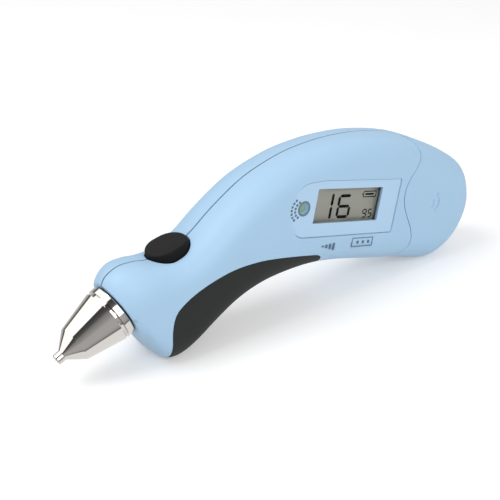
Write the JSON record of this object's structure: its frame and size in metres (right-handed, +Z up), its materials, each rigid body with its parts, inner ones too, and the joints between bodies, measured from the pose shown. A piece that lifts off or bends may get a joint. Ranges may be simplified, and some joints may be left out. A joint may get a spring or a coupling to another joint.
{
  "type": "applanation tonometer",
  "caption": "Handheld pen for measuring eye pressure: curved two-part body, stepped steel tip, thumb button, soft grip, small display and a pull-off battery cover.",
  "frame": {"origin": "on the ground, under the middle of the overall bounding box", "axes": "+X from the tip to the tail, +Z up with the pen standing on its belly and tail, and the display faces -Y"},
  "size_m": [0.1548, 0.023, 0.0505],
  "materials": {
    "blue_shell": "satin moulded",
    "grip_rubber": "soft, fine-grained",
    "button_black": "satin",
    "switch_red": "moulded",
    "switch_black": "moulded",
    "board_green": "coated board",
    "panel_blue": "smooth film",
    "window_clear": "clear",
    "lcd_grey": "liquid crystal glass",
    "frame_grey": "moulded",
    "strip_rubber": "layered contact rubber",
    "pipe_clear": "clear moulding",
    "led_body": "epoxy",
    "chip_black": "moulded",
    "connector_ivory": "moulded",
    "steel": "plated",
    "nose_steel": "turned and polished",
    "sounder_black": "moulded",
    "pack_wrap": "shrink wrap",
    "contact_metal": "plated spring metal",
    "cradle_grey": "moulded",
    "seal_rubber": "soft",
    "nut_brass": "turned",
    "bridge_gold": "thin film on silicon",
    "flex_amber": "polyimide film"
  },
  "bodies": {
    "pen": {"front_shell": "blue_shell", "rear_shell": "blue_shell", "grip_pad": "grip_rubber", "switch_body": "switch_black", "switch_board": "board_green", "display_panel": "panel_blue", "display_window": "window_clear", "lcd_glass": "lcd_grey", "lcd_frame": "frame_grey", "contact_strips": "strip_rubber", "light_pipe": "pipe_clear", "status_led": "led_body", "main_board": "board_green", "board_chips": "chip_black", "board_connectors": "connector_ivory", "board_screws": "steel", "sounder": "sounder_black", "battery_pack": "pack_wrap", "battery_contacts": "contact_metal", "battery_cradle": "cradle_grey", "nose_cone": "nose_steel", "nose_seal": "seal_rubber", "nose_nut": "nut_brass", "transducer": "steel", "gauge_bridge": "bridge_gold", "sensor_flex": "flex_amber", "switch_flex": "flex_amber", "case_screws": "steel"},
    "operator_button": {"button_cap": "button_black", "switch_plunger": "switch_red"},
    "battery_cover_body": {"battery_cover": "blue_shell"},
    "plunger": {"tip_plunger": "steel"}
  },
  "joints": [
    {"name": "button_press", "type": "slide", "parent": "pen", "child": "operator_button", "axis": [0.1994, 0, -0.9799], "range_m": [0, 0.0008], "stiffness_N_per_m": 1500, "springref_m": -0.0003},
    {"name": "battery_cover_slide", "type": "slide", "parent": "pen", "child": "battery_cover_body", "axis": [0.9613, 0, -0.2756], "range_m": [0, 0.036]},
    {"name": "plunger_press", "type": "slide", "parent": "pen", "child": "plunger", "axis": [0.9063, 0, 0.4226], "range_m": [0, 0.0001], "stiffness_N_per_m": 2000}
  ]
}
